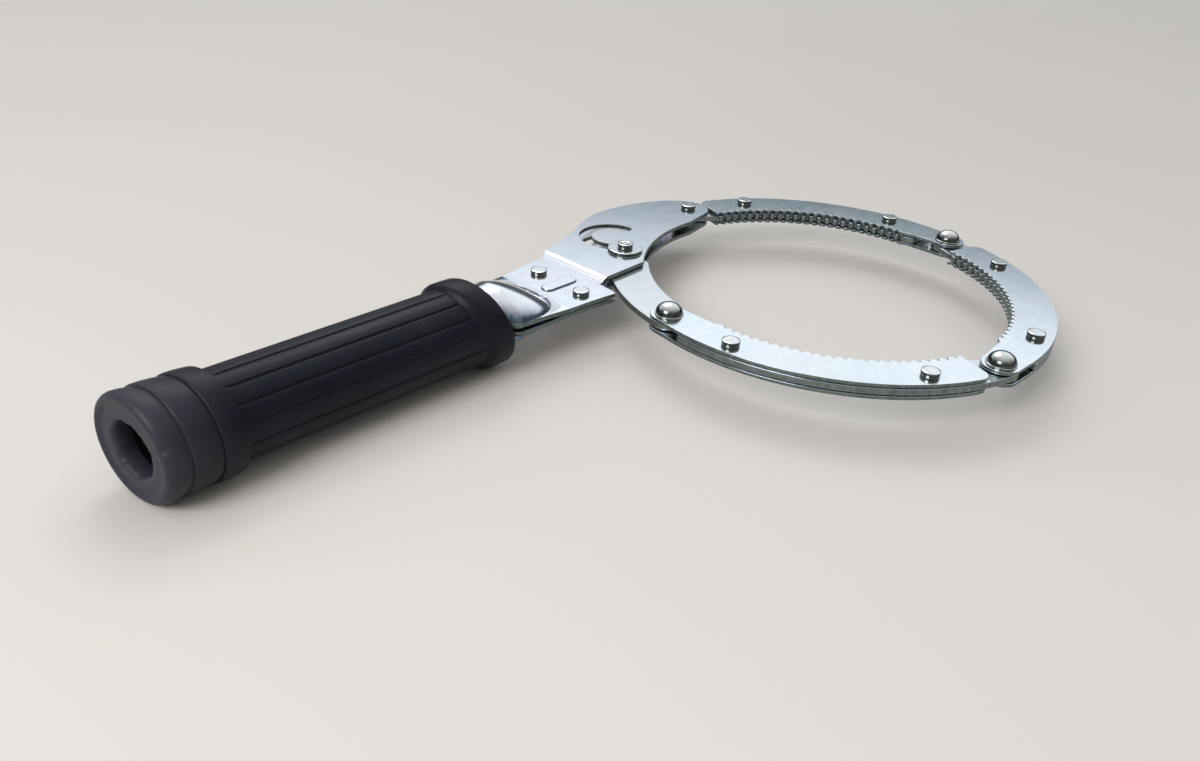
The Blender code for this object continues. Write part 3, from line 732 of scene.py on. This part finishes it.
def taper(share, powers):
    """1 at the start of a run, 0 at its end, with a curve set by two powers."""
    return (1 - share ** powers[0]) ** powers[1]


def bulge_feet(x):
    """How far the bulge reaches to the front and to the back of the handle's axis at x."""
    share = min(max((x - BULGE_WIDEST) / (BULGE_NOSE - BULGE_WIDEST), 0.0), 1.0)
    front = BULGE_FRONT * taper(share, FRONT_TAPER)
    back = BULGE_BACK * taper(share, BACK_TAPER)
    swell = smooth_step(x, SWELL_START, SWELL_END)
    return TUBE_RADIUS + (front - TUBE_RADIUS) * swell, TUBE_RADIUS + (back - TUBE_RADIUS) * swell


def bulge_row(x, fall_start, across, side_points):
    """Middle surface of the upper half across the handle at x: flange, bulge, flange."""
    rising = smooth_step(x, SWELL_START, SWELL_END)
    past = x - BULGE_WIDEST
    front_edge = TUBE_RADIUS + rising * (RIM_FRONT + RIM_FRONT_SLOPE * past - TUBE_RADIUS)
    back_edge = TUBE_RADIUS + rising * (RIM_BACK + RIM_BACK_SLOPE * past - TUBE_RADIUS)
    front, back = bulge_feet(x)
    front, back = min(front, front_edge - 0.02), min(back, back_edge - 0.02)
    base = NECK_LEVEL + SHEET / 2 + HALVES_APART * (1 - smooth_step(x, BULGE_WIDEST, FLAT_START))
    height = TUBE_RADIUS - base
    if x > fall_start:
        share = min((x - fall_start) / (BULGE_NOSE - fall_start), 1.0)
        height *= taper(share, FALL_TAPER)
    points = [(x, y, base) for y in np.linspace(-front_edge, -front, side_points + 1)[:-1]]
    centre, half = (back - front) / 2, (back + front) / 2
    for v in np.linspace(-1, 1, across):
        y = math.sin(math.pi * v / 2)
        crown = ROUND_SECTION + (BACK_PEAKING if y > 0 else FRONT_PEAKING) * rising
        points.append((x, centre + half * y, base + height * max(1 - y * y, 0.0) ** crown))
    points += [(x, y, base) for y in np.linspace(back, back_edge, side_points + 1)[1:]]
    return points


def add_strip(bm, lower, upper):
    """Faces between two rows of vertices."""
    for k in range(len(lower) - 1):
        bm.faces.new((lower[k], lower[k + 1], upper[k + 1], upper[k]))


def fill_flat(bm, loops, z):
    """Level face inside closed loops of vertices or plan points."""
    edges = []
    for points in loops:
        corners = [p if isinstance(p, bmesh.types.BMVert) else bm.verts.new((*p, z))
                   for p in points]
        for first, second in zip(corners, corners[1:] + corners[:1]):
            edges.append(bm.edges.get((first, second)) or bm.edges.new((first, second)))
    bmesh.ops.triangle_fill(bm, use_beauty=True, edges=edges, normal=(0.0, 0.0, 1.0))


def handle_sheet(stud, fall_start):
    """Middle surface of the upper half: tube, bulge, flat neck, ramp and jaw with its slot."""
    bm = bmesh.new()
    # The rows crowd towards the nose, where the bulge ends steeply.
    nose = [SWELL_END + (BULGE_NOSE - SWELL_END) * math.sin(t)
            for t in np.linspace(0.0, math.pi / 2 * 0.965, 30)]
    swell = np.arange(min(UPPER_FALL, LOWER_FALL), SWELL_END - 0.4, 0.5)
    stations = [TUBE_END, -90.0, -50.0, *swell, *nose, BULGE_NOSE + 0.02, FLAT_START,
                FLAT_START + 0.5]
    rows = [[bm.verts.new(p) for p in bulge_row(x, fall_start, 45, 3)] for x in stations]
    for lower, upper in zip(rows, rows[1:]):
        add_strip(bm, lower, upper)
    neck_z = NECK_LEVEL + SHEET / 2
    jaw_z = JAW_LEVEL + SHEET / 2
    foot_front = JAW_FRONT - RAMP_NARROWING_FRONT
    foot_back = JAW_START_BACK - RAMP_NARROWING_BACK
    ramp = []
    for share in (-0.2, *np.linspace(0.0, 1.0, 13), 1.2):
        front = foot_front + (JAW_FRONT - foot_front) * share
        back = foot_back + (JAW_START_BACK - foot_back) * share
        place = NECK_END + (JAW_START - NECK_END) * share
        height = neck_z + (jaw_z - neck_z) * smooth_step(share, 0, 1)
        ramp.append([bm.verts.new((place, y, height)) for y in np.linspace(front, back, 30)])
    for lower, upper in zip(ramp, ramp[1:]):
        add_strip(bm, lower, upper)
    front_edge = [(NECK_END - 1.0, foot_front - 0.1), *NECK_FRONT_EDGE]
    fill_flat(bm, [[*rows[-1], NECK_BACK_CORNER, *ramp[0][::-1], *front_edge]], neck_z)
    fill_flat(bm, [[*ramp[-1], *jaw_outline()], slot_outline(stud)], jaw_z)
    bmesh.ops.remove_doubles(bm, verts=bm.verts, dist=0.02)
    return bm


def build_handle_half(name, side, stud, steel):
    """One pressed half: the sheet's middle surface, thickened, with rolled edges and its boss."""
    bm = handle_sheet(stud, UPPER_FALL if side > 0 else LOWER_FALL)
    if side < 0:
        bmesh.ops.scale(bm, vec=(1.0, 1.0, -1.0), verts=bm.verts)
    bmesh.ops.recalc_face_normals(bm, faces=bm.faces[:])
    half = add_piece(f"{name}_look", bm, steel, "handle", "handle_steel", [name], sharp=38)
    thicken = half.modifiers.new("sheet thickness", "SOLIDIFY")
    thicken.thickness = SHEET * MM
    thicken.offset = 0.0
    thicken.use_even_offset = True
    soften = half.modifiers.new("rolled edge", "BEVEL")
    soften.width = SHEET_EDGE * MM
    soften.segments = 2
    soften.limit_method = "ANGLE"
    soften.angle_limit = math.radians(70)
    bpy.context.view_layer.update()
    shapes = bpy.context.evaluated_depsgraph_get()
    half.data = bpy.data.meshes.new_from_object(half.evaluated_get(shapes))
    half.modifiers.clear()
    # The neck's and the jaw's faces are made exactly level, so that they shade evenly.
    levels = [side * (level + rise) for level in (NECK_LEVEL, JAW_LEVEL) for rise in (0.0, SHEET)]
    flat_from = ORIGIN.x + FLAT_START - 0.2
    for corner in half.data.vertices:
        here = corner.co.z / MM
        nearest = min(levels, key=lambda level: abs(level - here))
        if corner.co.x / MM > flat_from and abs(nearest - here) < LEVEL_SNAP:
            corner.co.z = nearest * MM
    half.data.update()
    flatten_shading(half.data)
    build_boss(f"{name}_boss", side, steel)


def boss_loop(grow):
    """Oblong outline of the boss, grown or shrunk by an amount."""
    half = BOSS_WIDTH / 2 + grow
    reach = BOSS_LENGTH / 2 - BOSS_WIDTH / 2
    x, y = BOSS_CENTRE
    return [*arc((x + reach, y), half, -90, 90, 16), *arc((x - reach, y), half, 90, 270, 16)]


def build_boss(name, side, steel):
    """Oblong swage pressed up out of the neck."""
    seat = NECK_LEVEL + SHEET
    bm = bmesh.new()
    rings = []
    section = ((0.12, -0.25), (0.10, 0.0), (0.04, 0.22), (-0.04, BOSS_HEIGHT - 0.2),
               (-0.16, BOSS_HEIGHT - 0.05), (-0.35, BOSS_HEIGHT))
    for grow, rise in section:
        rings.append([bm.verts.new((x, y, side * (seat + rise))) for x, y in boss_loop(grow)])
    for lower, upper in zip(rings, rings[1:]):
        for k in range(len(lower)):
            after = (k + 1) % len(lower)
            bm.faces.new((lower[k], lower[after], upper[after], upper[k]))
    bm.faces.new(rings[-1])
    bm.faces.new(rings[0])
    bmesh.ops.recalc_face_normals(bm, faces=bm.faces[:])
    add_piece(name, bm, steel, "handle", "handle_steel", sharp=50)


# ---------------------------------------------------------------- grip
def ring_profile(start, end, radius, drop):
    """One moulded collar ring: a crisp lip at its rear end, crowned, falling to the front."""
    span = end - start
    return [(start, radius - 0.62), (start + 0.04, radius - 0.28), (start + 0.25, radius - 0.06),
            (start + 0.7, radius), (start + 0.35 * span, radius),
            (start + 0.65 * span, radius - 0.3 * drop), (start + 0.85 * span, radius - 0.7 * drop),
            (end - 0.25, radius - drop), (end - 0.05, radius - drop - 0.04)]


def build_grip(rubber):
    """Rubber sleeve: ringed collar, lengthwise lands, leaning flange, and a ragged end hole."""
    end_lip = [(GRIP_END + ahead, COLLAR_RADIUS - drop) for ahead, drop in END_LIP]
    outside = [*end_lip, (GROOVE_A - 0.25, COLLAR_RADIUS - 0.58), (GROOVE_A - 0.05, COLLAR_RADIUS - 0.62),
               *ring_profile(GROOVE_A, GROOVE_B, COLLAR_RADIUS, 0.55),
               *ring_profile(GROOVE_B, COLLAR_END, COLLAR_RADIUS, 0.3),
               (COLLAR_END, COLLAR_RADIUS - 0.8), (COLLAR_END + 0.12, GRIP_RADIUS + 0.25),
               (COLLAR_END + 0.35, GRIP_RADIUS)]
    body = [(x, GRIP_RADIUS) for x in np.linspace(COLLAR_END + 0.8, FLANGE_START - 0.9, 46)]
    wide = FLANGE_START + 2.6
    flange = [(FLANGE_START - 0.4, GRIP_RADIUS), (FLANGE_START, GRIP_RADIUS + 0.12),
              (FLANGE_START + 0.4, GRIP_RADIUS + 0.6), (FLANGE_START + 1.0, FLANGE_RADIUS - 0.55),
              (FLANGE_START + 1.7, FLANGE_RADIUS - 0.18), (wide, FLANGE_RADIUS),
              (wide + 2.0, FLANGE_RADIUS), (GRIP_FRONT - 1.6, FLANGE_RADIUS - 0.05),
              (GRIP_FRONT - 0.8, FLANGE_RADIUS - 0.3), (GRIP_FRONT - 0.25, FLANGE_RADIUS - 0.8),
              (GRIP_FRONT, FLANGE_RADIUS - 1.5)]
    cavity_end = TUBE_END - 2.2
    hole_rim = END_HOLE_RADIUS
    inside = [(GRIP_FRONT - 0.1, GRIP_BORE + 0.4), (GRIP_FRONT - 0.6, GRIP_BORE),
              (cavity_end, GRIP_BORE), (cavity_end, hole_rim + 0.4), (cavity_end - 0.5, hole_rim),
              (GRIP_END + 2.0, hole_rim - 0.1), (GRIP_END + 1.0, hole_rim + 0.05),
              (GRIP_END + 0.55, hole_rim + 0.5), (GRIP_END + 0.48, hole_rim + 1.2),
              (GRIP_END + 0.5, COLLAR_RADIUS - 4.0)]
    body_start = COLLAR_END + 0.5
    body_end = FLANGE_START - 0.2

    def lands(x, radius, turn):
        """Flatten the lands, cut the grooves between them and wave the end hole's rim."""
        here = radius
        if body_start < x < body_end and radius > GRIP_BORE + 1:
            near = (turn / (2 * math.pi) * LAND_COUNT + LAND_PHASE) % 1.0
            away = min(near, 1.0 - near) * 2 * math.pi * GRIP_RADIUS / LAND_COUNT
            ends = smooth_step(x, body_start, body_start + 1.0)
            ends *= 1 - smooth_step(x, body_end - 1.0, body_end)
            groove = max(1 - (away / GROOVE_HALF_WIDTH) ** 2, 0.0)
            flat = LAND_FLATNESS * (1 - math.cos(2 * math.pi * near)) / 2 - LAND_FLATNESS
            here += ends * (-GROOVE_DEPTH * groove ** 0.7 + flat)
        if x < GRIP_END + 2.6 and radius < END_HOLE_RADIUS + 0.9:
            here += sum(size * math.sin(count * turn + shift) for size, count, shift in HOLE_WAVES)
        return here

    bm = turned([*outside, *body, *flange, *inside], LAND_COUNT * 24, along="X", closed=True,
                shape=lands)
    for corner in bm.verts:
        x, y, z = corner.co
        if x < GRIP_END + 7 and math.hypot(y, z) > END_HOLE_RADIUS + 2:
            nick = math.exp(-((math.atan2(z, y) - NICK_TURN) / NICK_WIDTH) ** 2)
            nick *= smooth_step(-x, -GRIP_END - 2.5, -GRIP_END - 0.5)
            corner.co.y *= 1 - NICK_DEPTH * nick
            corner.co.z *= 1 - NICK_DEPTH * nick
        corner.co.x = x - SIDE_LEAN * y - FRONT_LEAN * smooth_step(x, LEAN_START, FLANGE_START) * z
    add_piece("grip_sleeve_look", bm, rubber, "handle", "grip_rubber", ["grip_sleeve"], sharp=50)


def build_wrench():
    """All the pieces of the wrench, in their materials."""
    sheet = zinc("zinc_pressed_sheet", (0.83, 0.86, 0.90),
                 ((0.80, 0.84, 0.92), (0.87, 0.84, 0.90), (0.80, 0.88, 0.92)), 0.13, 0.20)
    outer = zinc("zinc_outer_plate", (0.82, 0.86, 0.89),
                 ((0.78, 0.84, 0.90), (0.85, 0.86, 0.90), (0.78, 0.86, 0.89)), 0.11, 0.16)
    inner = zinc("zinc_middle_plate", (0.78, 0.80, 0.82),
                 ((0.74, 0.78, 0.82), (0.80, 0.80, 0.82), (0.75, 0.80, 0.82)), 0.16, 0.24,
                 (0.20, 0.225, 0.21))
    bright = bright_zinc("bright_zinc_rivet", (0.84, 0.85, 0.86), 0.10, 0.15)
    washer = bright_zinc("bright_zinc_washer", (0.84, 0.86, 0.89), 0.14, 0.45)
    rubber = black_rubber("black_moulded_rubber")
    places = chain_places()
    build_handle_half("upper_handle_shell", 1, places[-1], sheet)
    build_handle_half("lower_handle_shell", -1, places[-1], sheet)
    build_grip(rubber)
    neck_seat = NECK_LEVEL + SHEET + RIVET_PLAY
    for name, place in zip(("neck_rivet_back", "neck_rivet_front"), NECK_RIVETS):
        add_piece(f"{name}_look", flat_rivet(NECK_RIVET, neck_seat), bright, "handle",
                  "rivet_steel", [name], place, sharp=40)
    add_piece("jaw_pivot_rivet_look", flat_rivet(PLATE_RIVET, JAW_LEVEL + SHEET + RIVET_PLAY), bright,
              "handle", "rivet_steel", ["jaw_pivot_rivet"], JAW_PIVOT, sharp=40)
    for number, (place, turn) in enumerate(zip(places, HEADINGS[:3]), start=1):
        build_segment(number, place, turn, outer, inner, bright)
    build_link(places[3], HEADINGS[3], inner, bright, washer)


# ---------------------------------------------------------------- stage
def area_light(name, place, target, size, power, color):
    """Rectangular light panel aimed at a point, in metres and watts."""
    data = bpy.data.lights.new(name, "AREA")
    data.shape = "RECTANGLE"
    data.size, data.size_y = size
    data.energy = power
    data.color = color
    made = bpy.data.objects.new(name, data)
    bpy.context.scene.collection.objects.link(made)
    made.location = place
    aim = Vector(target) - Vector(place)
    made.rotation_euler = aim.to_track_quat("-Z", "Y").to_euler()


def build_stage():
    """Floor under the wrench, the light room round it and two light panels."""
    bm = bmesh.new()
    spread = np.linspace(-FLOOR_REACH, FLOOR_REACH, 24)
    grid = [[bm.verts.new((x, y, FLOOR * MM)) for x in spread] for y in spread]
    for lower, upper in zip(grid, grid[1:]):
        add_strip(bm, lower, upper)
    mesh = bpy.data.meshes.new("floor")
    bm.to_mesh(mesh)
    bm.free()
    mesh.materials.append(pale_floor("pale_floor"))
    floor = bpy.data.objects.new("floor", mesh)
    bpy.context.scene.collection.objects.link(floor)

    light_room()
    area_light("key_panel", (0.60, 0.85, 1.30), (0.0, 0.0, 0.0), (0.8, 0.8), 6.0, (1.0, 0.99, 0.97))
    area_light("side_panel", (-0.85, -0.05, 0.62), (-0.45, -0.02, 0.0), (0.5, 0.5), 7.5,
               (1.0, 0.985, 0.96))


def color_band(tree, height, stops):
    """Colour of the room by height: 0 straight down, 0.5 level, 1 straight up."""
    ramp = tree.nodes.new("ShaderNodeValToRGB")
    while len(ramp.color_ramp.elements) < len(stops):
        ramp.color_ramp.elements.new(0.5)
    for element, (place, color) in zip(ramp.color_ramp.elements, stops):
        element.position = place
        element.color = (*color, 1.0)
    tree.links.new(height, ramp.inputs["Fac"])
    return ramp.outputs["Color"]


def light_room():
    """Bright wall of light beyond the ring, with a dim band under it; warm room behind."""
    world = bpy.data.worlds.new("soft_studio")
    bpy.context.scene.world = world
    world.use_nodes = True
    tree = world.node_tree
    spot = tree.nodes.new("ShaderNodeTexCoord")
    split = tree.nodes.new("ShaderNodeSeparateXYZ")
    tree.links.new(spot.outputs["Generated"], split.inputs[0])
    beyond = color_band(tree, split.outputs["Z"], (
        (0.0, (0.10, 0.11, 0.12)), (0.312, (0.05, 0.07, 0.075)), (0.333, (0.18, 0.23, 0.25)),
        (0.352, (0.40, 0.49, 0.56)), (0.370, (0.80, 0.87, 0.96)), (0.400, (1.10, 1.20, 1.27)),
        (0.50, (1.04, 1.10, 1.14)), (0.70, (0.96, 0.98, 1.00)), (1.0, (0.85, 0.86, 0.87))))
    behind = color_band(tree, split.outputs["Z"], (
        (0.0, (0.22, 0.20, 0.18)), (0.30, (0.36, 0.34, 0.32)), (0.70, (0.66, 0.63, 0.60)),
        (1.0, (0.85, 0.86, 0.87))))
    facing = tree.nodes.new("ShaderNodeVectorMath")
    facing.operation = "DOT_PRODUCT"
    facing.inputs[1].default_value = ROOM_AXIS
    tree.links.new(spot.outputs["Generated"], facing.inputs[0])
    share = tree.nodes.new("ShaderNodeMapRange")
    share.interpolation_type = "SMOOTHSTEP"
    share.inputs["From Min"].default_value = -0.10
    share.inputs["From Max"].default_value = 0.40
    tree.links.new(facing.outputs["Value"], share.inputs["Value"])
    both = tree.nodes.new("ShaderNodeMix")
    both.data_type = "RGBA"
    sockets = {socket.name: socket for socket in both.inputs if socket.enabled}
    tree.links.new(share.outputs["Result"], sockets["Factor"])
    tree.links.new(behind, sockets["A"])
    tree.links.new(beyond, sockets["B"])
    back = tree.nodes["Background"]
    tree.links.new([socket for socket in both.outputs if socket.enabled][0], back.inputs["Color"])
    back.inputs["Strength"].default_value = 0.95


def add_camera():
    """Seen from the grip's side of the ring, about 30 degrees above the plates."""
    data = bpy.data.cameras.new("camera")
    data.sensor_width = 36.0
    data.lens = 30.0
    data.clip_start = 0.01
    camera = bpy.data.objects.new("camera", data)
    bpy.context.scene.collection.objects.link(camera)
    facing = (Matrix.Rotation(math.radians(CAMERA_HEADING - 90), 4, "Z")
              @ Matrix.Rotation(math.radians(90 - CAMERA_DIP), 4, "X")
              @ Matrix.Rotation(math.radians(CAMERA_ROLL), 4, "Z"))
    stand = (ORIGIN + Vector(CAMERA_PLACE)) * MM
    camera.matrix_world = Matrix.Translation(stand) @ facing
    bpy.context.scene.camera = camera
    bpy.context.scene.view_settings.view_transform = "Standard"


build_wrench()
build_stage()
add_camera()
